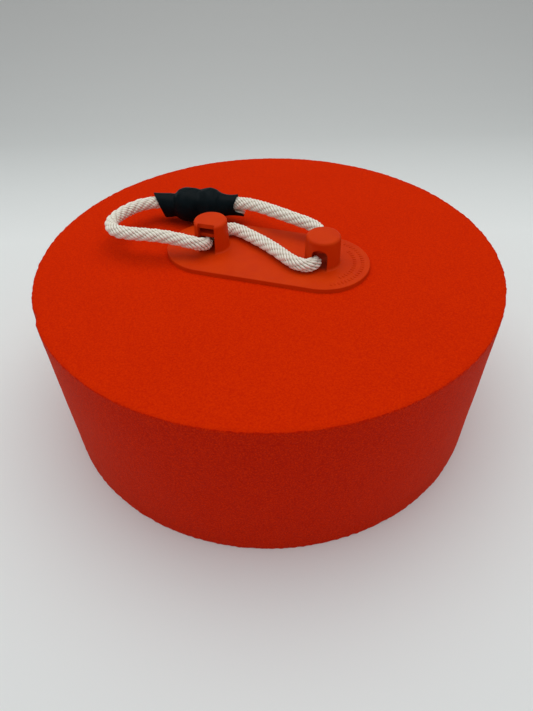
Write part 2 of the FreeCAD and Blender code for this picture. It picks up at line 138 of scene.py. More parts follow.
def new_material(name, **sockets):
    """Principled material whose named sockets are set once; returns it with its shader."""
    material = bpy.data.materials.new(name)
    material.use_nodes = True
    shader = material.node_tree.nodes["Principled BSDF"]
    for socket, value in sockets.items():
        shader.inputs[socket.replace("_", " ")].default_value = value
    return material, shader


def connect(material, source, shader, socket):
    material.node_tree.links.new(source, shader.inputs[socket])


def grey(value):
    return (value, value, value)


def noise_texture(material, size, detail=3.0, rough=0.5, vector=None):
    """Noise with features about a given size, in metres, on the piece's own coordinates."""
    if vector is None:
        vector = own_coordinates(material)
    settings = {"Vector": vector, "Scale": 1.0 / size, "Detail": detail, "Roughness": rough}
    return node(material, "ShaderNodeTexNoise", settings).outputs["Fac"]


def bump(material, height, distance, normal=None):
    """Normal bent by a height, on top of another bump's normal where one is given."""
    inputs = {"Height": height, "Distance": distance, "Strength": 1.0}
    if normal is not None:
        inputs["Normal"] = normal
    return node(material, "ShaderNodeBump", inputs).outputs["Normal"]


def foam_skin_material():
    """Smooth face of the foam: dense fine grain with a faint broad unevenness."""
    material, shader = new_material("foam_skin", Specular_IOR_Level=0.015)
    broad = noise_texture(material, 0.03, 3.0)
    fine = noise_texture(material, 0.0007, 3.0, 0.7)
    colour = ramp(material, mixed(material, broad, 0.1, fine), [
        (0.36, (0.55, 0.0140, 0.0)), (0.55, (0.62, 0.0205, 0.0)), (0.74, (0.69, 0.0275, 0.0))])
    connect(material, colour, shader, "Base Color")
    rough = ramp(material, fine, [(0.3, grey(0.66)), (0.7, grey(0.84))])
    connect(material, rough, shader, "Roughness")
    connect(material, bump(material, fine, 0.00016), shader, "Normal")
    return material


def foam_cut_material():
    """Cut edge of the foam: open cells whose rims catch the light as small specks."""
    material, shader = new_material("foam_cut", Specular_IOR_Level=0.03, Sheen_Weight=0.07,
                                    Sheen_Roughness=0.35, Sheen_Tint=(1.0, 0.45, 0.22, 1.0))
    where = own_coordinates(material)
    cells = node(material, "ShaderNodeTexVoronoi", {"Vector": where, "Scale": 1500.0})
    cells = cells.outputs["Distance"]
    grain = noise_texture(material, 0.00055, 3.0, 0.7, where)
    broad = noise_texture(material, 0.02, 3.0, 0.5, where)
    shade = mixed(material, broad, 0.06, mixed(material, cells, -0.35, grain))
    colour = ramp(material, shade, [
        (0.12, (0.47, 0.0080, 0.0)), (0.36, (0.57, 0.0120, 0.0)), (0.56, (0.71, 0.0270, 0.0))])
    connect(material, colour, shader, "Base Color")
    rough = ramp(material, grain, [(0.3, grey(0.6)), (0.7, grey(0.85))])
    connect(material, rough, shader, "Roughness")
    normal = bump(material, cells, -0.00012)
    connect(material, bump(material, grain, 0.00010, normal), shader, "Normal")
    return material


def moulding_material():
    """Flexible moulding: satin, with a faint flow unevenness and a fine mould texture."""
    material, shader = new_material("moulded_elastomer", Specular_IOR_Level=0.07)
    where = own_coordinates(material)
    broad = noise_texture(material, 0.009, 3.0, 0.5, where)
    fine = noise_texture(material, 0.0004, 2.0, 0.5, where)
    waves = {"Vector": where, "Scale": 260.0, "Distortion": 3.0, "Detail Scale": 0.4}
    flow = node(material, "ShaderNodeTexWave", waves, bands_direction="Y").outputs["Fac"]
    colour = ramp(material, broad, [(0.3, (0.59, 0.031, 0.0)), (0.7, (0.64, 0.041, 0.0))])
    connect(material, colour, shader, "Base Color")
    rough = ramp(material, broad, [(0.3, grey(0.44)), (0.7, grey(0.56))])
    connect(material, rough, shader, "Roughness")
    normal = bump(material, flow, 0.000012, bump(material, fine, 0.00003))
    connect(material, bump(material, broad, 0.00015, normal), shader, "Normal")
    return material


# What each point of a rope carries: where it lies round its yarn and along it, how deep it lies
# between the yarns, which the colour turns into painted shade and dust, and a number of its yarn's
# own.
ROPE_VALUES = ("around", "along", "depth", "tone")


def attribute(material, name):
    return node(material, "ShaderNodeAttribute", attribute_name=name).outputs["Fac"]


def rope_material():
    """White multifilament yarn: filaments along each yarn, and painted shade with some dust, darker
    and browner, down between the yarns.
    """
    material, shader = new_material("braided_rope", Specular_IOR_Level=0.35, Sheen_Weight=0.15,
                                    Sheen_Roughness=0.4)
    around, along, depth, tone = (attribute(material, name) for name in ROPE_VALUES)
    place = node(material, "ShaderNodeCombineXYZ", {"X": around, "Y": along, "Z": tone})
    stretched = node(material, "ShaderNodeMapping",
                     {"Vector": place.outputs[0], "Scale": (9.0, 160.0, 50.0)})
    filaments = node(material, "ShaderNodeTexNoise",
                     {"Vector": stretched.outputs[0], "Scale": 1.0, "Detail": 2.0}).outputs["Fac"]
    face = ramp(material, filaments, [(0.3, (0.83, 0.785, 0.655)), (0.7, (0.94, 0.91, 0.81))])
    # The deeper a point lies between the yarns, the more its colour goes to a darker brown: painted
    # shade, partly dust.
    colour = node(material, "ShaderNodeMix",
                  {"Factor": depth, "A": face, "B": (0.62, 0.54, 0.43, 1.0)}, data_type="RGBA")
    connect(material, colour.outputs["Result"], shader, "Base Color")
    rough = ramp(material, filaments, [(0.3, grey(0.62)), (0.7, grey(0.42))])
    connect(material, rough, shader, "Roughness")
    connect(material, bump(material, filaments, 0.00006), shader, "Normal")
    return material


def sleeve_material():
    """Shrunk black tube: matt, a little bluish, with soft wrinkles."""
    material, shader = new_material("shrink_tube", Specular_IOR_Level=0.055)
    broad = noise_texture(material, 0.006, 3.0)
    fine = noise_texture(material, 0.0005, 2.0)
    colour = ramp(material, broad, [(0.3, (0.0012, 0.0042, 0.0056)), (0.7, (0.0028, 0.0070, 0.0090))])
    connect(material, colour, shader, "Base Color")
    rough = ramp(material, broad, [(0.3, grey(0.36)), (0.7, grey(0.46))])
    connect(material, rough, shader, "Roughness")
    normal = bump(material, fine, 0.00002, bump(material, broad, 0.00022))
    connect(material, normal, shader, "Normal")
    return material


def metal_material(name, colour, roughness):
    """Brushed metal that varies between its colour and one a fifth darker."""
    material, shader = new_material(name, Metallic=1.0)
    grain = noise_texture(material, 0.0005, 3.0)
    darker = tuple(0.8 * c for c in colour)
    connect(material, ramp(material, grain, [(0.3, darker), (0.7, colour)]), shader, "Base Color")
    rough = ramp(material, grain, [(0.3, grey(roughness)), (0.7, grey(roughness + 0.15))])
    connect(material, rough, shader, "Roughness")
    connect(material, bump(material, grain, 0.00002), shader, "Normal")
    return material


def tube_material():
    """Extruded tube, streaked along its length."""
    material, shader = new_material("spacer_tube", Specular_IOR_Level=0.5)
    streak = node(material, "ShaderNodeMapping",
                  {"Vector": own_coordinates(material), "Scale": (1.0, 1.0, 0.03)})
    fine = noise_texture(material, 0.0006, 2.0, 0.5, streak.outputs[0])
    colour = ramp(material, fine, [(0.3, (0.42, 0.42, 0.40)), (0.7, (0.55, 0.55, 0.52))])
    connect(material, colour, shader, "Base Color")
    rough = ramp(material, fine, [(0.3, grey(0.4)), (0.7, grey(0.55))])
    connect(material, rough, shader, "Roughness")
    connect(material, bump(material, fine, 0.00003), shader, "Normal")
    return material


def floor_material():
    """Pale paper sweep with painted shade: its colour grows darker towards its raised back, where
    less light reaches.
    """
    material, shader = new_material("pale_floor", Roughness=0.7, Specular_IOR_Level=0.15)
    turned = node(material, "ShaderNodeMapping",
                  {"Vector": own_coordinates(material), "Rotation": (0.0, 0.0, -STAGE_TURN)})
    depth = node(material, "ShaderNodeSeparateXYZ", {"Vector": turned.outputs[0]}).outputs["Y"]
    # Painted shade: the sweep's colour darkens from the front of the floor up the backdrop.
    colour = ramp(material, depth, [
        (0.14, (0.835, 0.870, 0.857)), (0.32, (0.60, 0.62, 0.61)), (0.56, (0.44, 0.445, 0.435))])
    connect(material, colour, shader, "Base Color")
    return material


# ---------------------------------------------------------------- meshes

def new_piece(name, vertices, faces, materials, face_materials=None, values=None):
    """Smooth-shaded mesh object; values holds one list of numbers per named point attribute."""
    mesh = bpy.data.meshes.new(name)
    mesh.from_pydata([tuple(v) for v in vertices], [], faces)
    for material in materials:
        mesh.materials.append(material)
    if face_materials is not None:
        mesh.polygons.foreach_set("material_index", face_materials)
    mesh.polygons.foreach_set("use_smooth", [True] * len(mesh.polygons))
    for key, numbers in (values or {}).items():
        made = mesh.attributes.new(key, "FLOAT", "POINT")
        made.data.foreach_set("value", np.asarray(numbers, np.float32))
    mesh.update()
    piece = bpy.data.objects.new(name, mesh)
    bpy.context.scene.collection.objects.link(piece)
    return piece


def rows_to_quads(rows, sides, start=0, closed_ends=False):
    """Quads between rings of points, each ring a closed loop of the same number of sides."""
    faces = []
    for row in range(rows - 1):
        low, high = start + row * sides, start + (row + 1) * sides
        for i in range(sides):
            j = (i + 1) % sides
            faces.append((low + i, low + j, high + j, high + i))
    if closed_ends:
        faces.append(tuple(start + i for i in reversed(range(sides))))
        faces.append(tuple(start + (rows - 1) * sides + i for i in range(sides)))
    return faces


# ---------------------------------------------------------------- ropes

# Control points, in metres. Each of the rope's three stretches starts just inside a
# post and ends just inside the other post or inside the sleeve.
LEFT_ROUTE = [
    (-0.0260, -0.0046, 0.0801), (-0.0260, -0.0074, 0.0806), (-0.0262, -0.0106, 0.0823),
    (-0.0286, -0.0129, 0.0838), (-0.0325, -0.0133, 0.0845), (-0.0382, -0.0142, 0.0857),
    (-0.0468, -0.0160, 0.0869), (-0.0560, -0.0175, 0.0870), (-0.0646, -0.0167, 0.0864),
    (-0.0704, -0.0112, 0.0856), (-0.0715, -0.0034, 0.0852), (-0.0694, 0.0046, 0.0850),
    (-0.0656, 0.0114, 0.0848), (-0.0596, 0.0158, 0.0846), (-0.0542, 0.0171, 0.0842),
    (-0.0500, 0.0180, 0.0840),
]
RIGHT_ROUTE = [
    (0.0250, 0.0030, 0.0806), (0.0244, 0.0060, 0.0813), (0.0226, 0.0096, 0.0825),
    (0.0194, 0.0129, 0.0838), (0.0150, 0.0147, 0.0845), (0.0084, 0.0155, 0.0855),
    (0.0004, 0.0175, 0.0862), (-0.0076, 0.0205, 0.0861), (-0.0152, 0.0234, 0.0855),
    (-0.0224, 0.0240, 0.0849), (-0.0273, 0.0228, 0.0847), (-0.0312, 0.0220, 0.0847),
]
BRIDGE_ROUTE = [
    (-0.0256, -0.0012, 0.0802), (-0.0256, 0.0018, 0.0802), (-0.0251, 0.0049, 0.0803),
    (-0.0218, 0.0079, 0.0803), (-0.0167, 0.0084, 0.0803), (-0.0102, 0.0050, 0.0804),
    (-0.0024, 0.0007, 0.0805), (0.0046, -0.0037, 0.0805), (0.0104, -0.0082, 0.0805),
    (0.0160, -0.0119, 0.0804), (0.0209, -0.0120, 0.0803), (0.0236, -0.0092, 0.0802),
    (0.0237, -0.0062, 0.0801),
]


def smooth_line(route):
    """Points of the smooth spline that has the route's points as its control points."""
    curve = bpy.data.curves.new("line", "CURVE")
    curve.dimensions = "3D"
    spline = curve.splines.new("NURBS")
    spline.points.add(len(route) - 1)
    for point, place in zip(spline.points, route):
        point.co = (*place, 1.0)
    spline.order_u = 3
    spline.use_endpoint_u = True
    spline.resolution_u = 40
    holder = bpy.data.objects.new("line", curve)
    mesh = bpy.data.meshes.new_from_object(holder)
    line = np.array([v.co[:] for v in mesh.vertices])
    bpy.data.meshes.remove(mesh)
    bpy.data.objects.remove(holder)
    return line


def evenly(line, step):
    """Points at even steps along a line, with the distance of each from its start."""
    gaps = np.linalg.norm(np.diff(line, axis=0), axis=1)
    along = np.concatenate([[0.0], np.cumsum(gaps)])
    places = np.linspace(0.0, along[-1], max(2, round(along[-1] / step) + 1))
    return np.stack([np.interp(places, along, line[:, i]) for i in range(3)], 1), places


def unit(vectors):
    return vectors / np.linalg.norm(vectors, axis=-1, keepdims=True)


def moving_frame(line):
    """Two normals at each point of a line, which don't twist from one point to the next."""
    tangent = unit(np.gradient(line, axis=0))
    normal = np.zeros_like(line)
    normal[0] = unit(np.cross(tangent[0], (0.0, 0.0, 1.0)))
    for i in range(1, len(line)):
        carried = normal[i - 1] - tangent[i] * (normal[i - 1] @ tangent[i])
        normal[i] = unit(carried)
    return normal, np.cross(tangent, normal)


def yarn_tube(path, out, half_width, half_height, sides):
    """Rings of an oval tube along a path; out points away from the rope's middle."""
    tangent = unit(np.gradient(path, axis=0))
    out = unit(out - tangent * np.sum(out * tangent, axis=1, keepdims=True))
    across = np.cross(tangent, out)
    angles = np.arange(sides) * 2 * math.pi / sides
    wide = np.cos(angles)[None, :, None] * across[:, None, :] * np.reshape(half_width, (-1, 1, 1))
    tall = np.sin(angles)[None, :, None] * out[:, None, :] * np.reshape(half_height, (-1, 1, 1))
    return path[:, None, :] + wide + tall


# Solid braid, in metres. A yarn goes once round the rope in each lead, and rises and dives once in
# each stitch, half a stitch out of step with its neighbours.
BRAID = {
    "yarns": 10, "sides": 8, "step": 0.00026, "lead": 0.0205, "stitch": 0.00228, "stagger": math.pi,
    "middle": 0.00224, "dive": 0.00017, "wander": 0.00005, "wanders": 900.0,
    "half_width": 0.00058, "half_height": 0.00048, "wider": 0.06, "taller": 0.05,
    "core": 0.0019, "core_sides": 16, "surface": 0.00274, "groove": 0.00060, "end": 0.0022,
}


def rounded_ends(along):
    """Share of its full size that the rope has at each place, drawn in at its two tucked ends."""
    inside = np.minimum(along, along[-1] - along)
    return np.sqrt(np.clip(1 - np.clip(1 - inside / BRAID["end"], 0, 1) ** 2, 0.04, 1))


def way_round(sides, rings):
    """How far round its yarn each point of a tube's rings lies, the same on both sides."""
    return np.tile(np.abs(np.arange(sides) / sides - 0.5) * 2, rings)


def add_tube(mesh, rings, **numbers):
    """Add a closed tube of rings to (vertices, faces, values), with its points' rope values."""
    vertices, faces, values = mesh
    faces.extend(rows_to_quads(len(rings), rings.shape[1], len(vertices), True))
    points = rings.reshape(-1, 3)
    vertices.extend(points)
    for name in ROPE_VALUES:
        values[name].extend(np.broadcast_to(numbers[name], len(points)))


def braid(line):
    """Vertices, faces and values of a solid-braided rope along a line."""
    mesh = ([], [], {name: [] for name in ROPE_VALUES})
    points, along = evenly(line, BRAID["step"])
    side, up = moving_frame(points)
    full = rounded_ends(along)
    count, sides = len(points), BRAID["sides"]
    for k in range(BRAID["yarns"]):
        tone = RNG.random()
        start = RNG.uniform(0, 2 * math.pi)
        angle = 2 * math.pi * (k / BRAID["yarns"] + along / BRAID["lead"])
        phase = 2 * math.pi * along / BRAID["stitch"] + BRAID["stagger"] * k
        wave = 1 - 2 * ((1 - np.cos(phase)) / 2) ** 2
        radius = BRAID["middle"] + BRAID["dive"] * wave
        radius = radius + BRAID["wander"] * np.sin(along * BRAID["wanders"] + start)
        out = np.cos(angle)[:, None] * side + np.sin(angle)[:, None] * up
        rings = yarn_tube(points + out * (radius * full)[:, None], out,
                          BRAID["half_width"] * (1 + BRAID["wider"] * wave) * full,
                          BRAID["half_height"] * (1 + BRAID["taller"] * wave) * full, sides)
        from_middle = np.linalg.norm(rings - points[:, None, :], axis=2).ravel()
        add_tube(mesh, rings, around=way_round(sides, count), along=np.repeat(along, sides),
                 depth=np.clip((BRAID["surface"] - from_middle) / BRAID["groove"], 0, 1), tone=tone)
    core_size = BRAID["core"] * full
    core = yarn_tube(points, side, core_size, core_size, BRAID["core_sides"])
    # The core takes the full darker groove colour: painted shade, partly dust.
    add_tube(mesh, core, around=0.5, along=0.0, depth=1.0, tone=0.5)
    return mesh


def make_rope(name, route, material):
    line = smooth_line(route)
    vertices, faces, values = braid(line)
    piece = new_piece(name, vertices, faces, [material], values=values)
    return piece, line


# ---------------------------------------------------------------- foam

# The foam's lengths, and the sleeve's apart from its start, are in millimetres.
FOAM_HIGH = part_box("foam_disc")[1]
FOAM_RADIUS = FOAM_HIGH.x / MM
FOAM_HEIGHT = FOAM_HIGH.z / MM
TUBE_LOW, TUBE_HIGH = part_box("spacer_tube_right")
POST_X = (TUBE_LOW.x + TUBE_HIGH.x) / 2 / MM
POST_Y = (TUBE_LOW.y + TUBE_HIGH.y) / 2 / MM
HOLE_RADIUS = (TUBE_HIGH.x - TUBE_LOW.x) / 2 / MM + 0.2
HOLE_SIDES = 64
BACK_LOW, BACK_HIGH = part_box("back_plate")
RECESS_RADIUS = (BACK_HIGH.y - BACK_LOW.y) / 2 / MM + 0.2
RECESS_DEPTH = 2.8
RECESS_END_SIDES = 48
PLATE_RADIUS = 24.0
RIM_SIDES = 1200
RIM_LEVELS = [0.0, 0.12, 0.3, 0.6, 1.1, 1.8, 2.7]
RIM_BAND = 2.6
CUT_INSET = 0.1
RIM_ROUNDING, RIM_ROUNDED = 0.28, 0.22
RIM_ROUGHNESS, RIM_ROUGHENED, RIM_BUMP = 0.38, 0.8, 1.9
NICK_ANGLE = math.radians(-139.0)
NICK_DEPTH, NICK_SPREAD, NICK_REACH = 1.1, 0.032, 3.0

# Layers of unevenness on the cut side: height, size, and shift through the noise.
CUT_LAYERS = [(0.07, 2.6, 0.0), (0.06, 1.05, 0.0), (0.12, 17.0, 40.0)]

# Triangles that bridge the corners of a hole's outline have their middles further inside it than
# this, and those outside the hole don't.
OUTLINE_SLACK = 0.015


def foam_noise(x, y, z, size):
    return noise.noise(Vector((x / size, y / size, z / size)))


def side_radius(angle, z):
    """Radius of the foam's cut side in millimetres: cells, a soft rim and one nick."""
    x, y = FOAM_RADIUS * math.cos(angle), FOAM_RADIUS * math.sin(angle)
    edge = min(z, FOAM_HEIGHT - z)
    rounding = RIM_ROUNDING * math.exp(-edge / RIM_ROUNDED)
    rough = sum(height * foam_noise(x, y, z + shift, size) for height, size, shift in CUT_LAYERS)
    rough += RIM_ROUGHNESS * math.exp(-edge / RIM_ROUGHENED) * foam_noise(x, y, z + 80, RIM_BUMP)
    off = (angle - NICK_ANGLE + math.pi) % (2 * math.pi) - math.pi
    down = FOAM_HEIGHT - z
    nick = NICK_DEPTH * math.exp(-(off / NICK_SPREAD) ** 2) * math.exp(-(down / NICK_REACH) ** 2)
    return FOAM_RADIUS - CUT_INSET - rounding + rough - nick


def loop(points):
    """Edges that close a run of point numbers."""
    return [(points[i], points[(i + 1) % len(points)]) for i in range(len(points))]


def fill(loops, extra, inside, height):
    """Points and triangles of a flat area with closed loops in it, kept where inside() holds."""
    flat, edges = [], []
    for points in loops:
        edges += loop(range(len(flat), len(flat) + len(points)))
        flat += points
    flat += extra
    # Output kind 1 holds only the triangles that lie within the outermost loop.
    places, _, triangles, _, _, _ = delaunay_2d_cdt([Vector(p) for p in flat], edges, [], 1, 1e-6)
    kept = []
    for face in triangles:
        x = sum(places[i].x for i in face) / len(face)
        y = sum(places[i].y for i in face) / len(face)
        if inside(x, y):
            kept.append(tuple(face))
    return [(p.x, p.y, height(p.x, p.y)) for p in places], kept


def arc_points(x, y, radius, start, sweep, count, steps):
    """Points at even steps along an arc, in the number that count says."""
    angles = [start + sweep * i / steps for i in range(count)]
    return [(x + radius * math.cos(a), y + radius * math.sin(a)) for a in angles]


def ring_points(x, y, radius, count):
    return arc_points(x, y, radius, 0.0, 2 * math.pi, count, count)


def stadium_points(radius, per_end):
    ends = [(POST_X, -math.pi / 2), (-POST_X, math.pi / 2)]
    return [point for x, start in ends
            for point in arc_points(x, POST_Y, radius, start, math.pi, per_end + 1, per_end)]


def in_stadium(x, y, radius):
    nearest = min(POST_X, max(-POST_X, x))
    return math.hypot(x - nearest, y - POST_Y) < radius


def scattered(radius, pitch):
    """Jittered grid of flat points within a radius."""
    points = []
    steps = int(radius / pitch) + 1
    for i in range(-steps, steps + 1):
        for j in range(-steps, steps + 1):
            x = (i + 0.5 * (j % 2) + RNG.uniform(-0.25, 0.25)) * pitch
            y = (0.87 * j + RNG.uniform(-0.25, 0.25)) * pitch
            if math.hypot(x, y) < radius:
                points.append((x, y))
    return points


def off_holes(x, y, room=-OUTLINE_SLACK):
    nearest = min(math.hypot(x - POST_X, y - POST_Y), math.hypot(x + POST_X, y - POST_Y))
    return nearest > HOLE_RADIUS + room


def top_height(x, y):
    """Height of the foam's top: flat under the plate and at the rim, and a little uneven between."""
    if math.hypot(x, y) > FOAM_RADIUS - RIM_BAND or in_stadium(x, y, PLATE_RADIUS):
        return FOAM_HEIGHT
    return FOAM_HEIGHT - 0.05 + 0.05 * foam_noise(x, y, 0, 9.0)


def flipped(polygons):
    return [tuple(reversed(polygon)) for polygon in polygons]


def wall(outline, low, high):
    """Upright wall between two levels that faces into a flat outline."""
    points = [(x, y, z) for z in (low, high) for x, y in outline]
    return points, flipped(rows_to_quads(2, len(outline)))


def make_foam(skin, cut):
    """Foam disc: cut side, skinned top and bottom, the back plate's recess and two through holes."""
    vertices, faces, kinds = [], [], []

    def add(points, polygons, kind):
        start = len(vertices)
        vertices.extend(points)
        faces.extend(tuple(start + i for i in face) for face in polygons)
        kinds.extend([kind] * len(polygons))

    skinned, opened = 0, 1
    angles = [2 * math.pi * i / RIM_SIDES for i in range(RIM_SIDES)]
    middle = list(np.linspace(4.0, FOAM_HEIGHT - 4.0, 44))
    levels = RIM_LEVELS + middle + [FOAM_HEIGHT - z for z in reversed(RIM_LEVELS)]
    side = []
    for z in levels:
        for angle in angles:
            radius = side_radius(angle, z)
            side.append((radius * math.cos(angle), radius * math.sin(angle), z))
    add(side, rows_to_quads(len(levels), RIM_SIDES), opened)

    holes = [ring_points(sign * POST_X, POST_Y, HOLE_RADIUS, HOLE_SIDES) for sign in (1, -1)]
    # Two rings of points lie just inside each rim, with a jittered field of points within them.
    top_loop = [(x, y) for x, y, z in side[-RIM_SIDES:]]
    extra = ring_points(0, 0, FOAM_RADIUS - 2.7, 700) + ring_points(0, 0, FOAM_RADIUS - 3.3, 420)
    extra += [p for p in scattered(FOAM_RADIUS - 3.6, 2.2) if off_holes(*p, 0.3)]
    points, triangles = fill([top_loop] + holes, extra, off_holes, top_height)
    add(points, triangles, skinned)

    recess = stadium_points(RECESS_RADIUS, RECESS_END_SIDES)
    low_loop = [(x, y) for x, y, z in side[:RIM_SIDES]]
    extra = ring_points(0, 0, FOAM_RADIUS - 1.6, 600) + ring_points(0, 0, FOAM_RADIUS - 3.2, 300)
    extra += [p for p in scattered(FOAM_RADIUS - 5.0, 3.2) if not in_stadium(*p, RECESS_RADIUS + 1)]
    points, triangles = fill([low_loop, recess], extra,
                             lambda x, y: not in_stadium(x, y, RECESS_RADIUS - OUTLINE_SLACK),
                             lambda x, y: 0.0)
    add(points, flipped(triangles), skinned)

    add(*wall(recess, 0.0, RECESS_DEPTH), opened)
    points, triangles = fill([recess] + holes, [], off_holes, lambda x, y: RECESS_DEPTH)
    add(points, flipped(triangles), opened)
    for hole in holes:
        add(*wall(hole, RECESS_DEPTH, FOAM_HEIGHT), opened)

    piece = new_piece("foam_body", [(x * MM, y * MM, z * MM) for x, y, z in vertices], faces,
                      [skin, cut], kinds)
    weld(piece, 0.000002)
    return piece


def weld(piece, distance):
    """Merge points that lie on each other and turn every face outwards."""
    shape = bmesh.new()
    shape.from_mesh(piece.data)
    bmesh.ops.remove_doubles(shape, verts=shape.verts, dist=distance)
    bmesh.ops.recalc_face_normals(shape, faces=shape.faces)
    open_edges = sum(1 for edge in shape.edges if not edge.is_manifold)
    print(piece.name, len(shape.faces), "faces,", open_edges, "open edges")
    shape.to_mesh(piece.data)
    shape.free()


# ---------------------------------------------------------------- sleeve

SLEEVE_START = np.array((-0.0584, 0.0163, 0.08365))
SLEEVE_ANGLE = math.radians(11.5)
SLEEVE_ALONG = np.array((math.cos(SLEEVE_ANGLE), math.sin(SLEEVE_ANGLE), 0.0))
SLEEVE_ACROSS = np.array((-math.sin(SLEEVE_ANGLE), math.cos(SLEEVE_ANGLE), 0.0))
UP = np.array((0.0, 0.0, 1.0))

# Distance along the sleeve, half width, half height and rise of the middle, in millimetres.
SLEEVE_RINGS = [
    (0.0, 4.9, 5.9, -0.7), (2.5, 4.9, 5.8, -0.7), (5.5, 5.2, 5.7, -0.6), (8.2, 5.4, 5.6, -0.4),
    (9.6, 6.6, 6.7, -0.1), (11.6, 7.5, 7.5, 0.0), (14.6, 7.9, 7.9, 0.0), (17.6, 7.6, 7.6, 0.0),
    (19.9, 6.8, 6.9, 0.0), (22.0, 7.4, 7.4, 0.1), (24.8, 8.0, 8.0, 0.1), (27.4, 7.2, 7.2, 0.0),
    (30.0, 5.6, 5.7, 0.1), (33.0, 4.7, 4.9, 0.2), (35.2, 4.5, 4.9, 0.2), (37.4, 4.6, 5.2, 0.2),
]
SLEEVE_SHIFT = -0.3
SLEEVE_WALL = 0.9
LUMPS_FROM, LUMPS_TO, LUMP_HEIGHT, LUMP_LENGTH = 8, 28, 0.35, 4.5

# Each mouth is cut askew: how far, in which direction across the sleeve (sideways, up), and over
# what length. The right mouth also has a tongue that reaches out under the rope's end.
LEFT_LIP, LEFT_LIP_WAY, LEFT_LIP_LENGTH = 2.8, (0.684, 0.726), 9.0
RIGHT_LIP, RIGHT_LIP_WAY, RIGHT_LIP_LENGTH = 1.2, (0.515, 0.857), 8.0
RIGHT_LIP_FROM, RIGHT_TRIM, RIGHT_TONGUE = 29.4, 0.8, 5.5

KNOT_RADIUS, KNOT_HALF_LENGTH, KNOT_GROOVE = 5.9, 4.0, 0.45


def through(table, place):
    """Smooth interpolation through a table whose first column is the place."""
    columns = np.array(table, float)
    x, y = columns[:, 0], columns[:, 1:]
    slopes = np.gradient(y, x, axis=0)
    place = np.clip(place, x[0], x[-1])
    i = np.clip(np.searchsorted(x, place) - 1, 0, len(x) - 2)
    width = (x[i + 1] - x[i])[:, None]
    t = ((place - x[i]) / (x[i + 1] - x[i]))[:, None]
    return ((2 * t ** 3 - 3 * t ** 2 + 1) * y[i] + (t ** 3 - 2 * t ** 2 + t) * width * slopes[i]
            + (3 * t ** 2 - 2 * t ** 3) * y[i + 1] + (t ** 3 - t ** 2) * width * slopes[i + 1])


def sleeve_place(along, across, up):
    """Point of the sleeve's own space, given in millimetres, in the row frame."""
    return SLEEVE_START + (SLEEVE_ALONG * along + SLEEVE_ACROSS * across + UP * up) * MM


def make_sleeve(material):
    """Shrunk tube: outer and inner skins joined round the two mouths."""
    rows, sides = 96, 72
    places = np.linspace(0, SLEEVE_RINGS[-1][0], rows)
    shape = through(SLEEVE_RINGS, places)
    outward = [(row, 0.0) for row in range(rows)]
    inward = [(row, SLEEVE_WALL) for row in reversed(range(rows))]
    points = []
    for row, wall_depth in outward + inward:
        half_width, half_height, rise = shape[row]
        t = places[row]
        left_fade = max(0.0, 1 - t / LEFT_LIP_LENGTH) ** 2
        right_fade = max(0.0, (t - RIGHT_LIP_FROM) / RIGHT_LIP_LENGTH) ** 2
        for angle in np.arange(sides) * 2 * math.pi / sides:
            c, s = math.cos(angle), math.sin(angle)
            lump = 0.0
            if LUMPS_FROM < t < LUMPS_TO:
                lump = LUMP_HEIGHT * noise.noise(Vector((t / LUMP_LENGTH, 2.0 * c, 2.0 * s)))
            left_lip = -LEFT_LIP * (LEFT_LIP_WAY[0] * c + LEFT_LIP_WAY[1] * s)
            upper = RIGHT_LIP_WAY[0] * c + RIGHT_LIP_WAY[1] * s
            right_lip = RIGHT_LIP * upper - RIGHT_TRIM + RIGHT_TONGUE * max(0.0, -upper) ** 4
            points.append(sleeve_place(
                t + left_lip * left_fade + right_lip * right_fade + SLEEVE_SHIFT,
                (half_width - wall_depth + lump) * c,
                (half_height - wall_depth + lump) * s + rise))
    faces = rows_to_quads(2 * rows, sides)
    last = (2 * rows - 1) * sides
    faces += [(last + i, last + (i + 1) % sides, (i + 1) % sides, i) for i in range(sides)]
    piece = new_piece("sleeve_skin", points, faces, [material])
    weld(piece, 0.0000001)
    return piece


def make_knot(name, at, material):
    """Lump of rope turned round itself, under one of the sleeve's lumps."""
    rows, sides = 40, 72
    vertices, values = [], {key: [] for key in ROPE_VALUES}
    for row in range(rows):
        t = -1 + 2 * row / (rows - 1)
        for i in range(sides):
            a = 2 * math.pi * i / sides
            # depth follows the knot's grooves, where the rope's colour is painted darker: painted
            # shade, partly dust.
            depth = (1 - math.cos(3 * math.pi * t + a)) / 2
            radius = (KNOT_RADIUS - KNOT_GROOVE * depth) * (1 - abs(t) ** 5) ** 0.5 + 0.02
            vertices.append(sleeve_place(at + KNOT_HALF_LENGTH * t,
                                         radius * math.cos(a), radius * math.sin(a)))
            for key, value in zip(ROPE_VALUES, ((7 * t + a) % 1.0, a * 0.005, depth, 0.5)):
                values[key].append(value)
    piece = new_piece(name, vertices, rows_to_quads(rows, sides, 0, True), [material], values=values)
    return piece


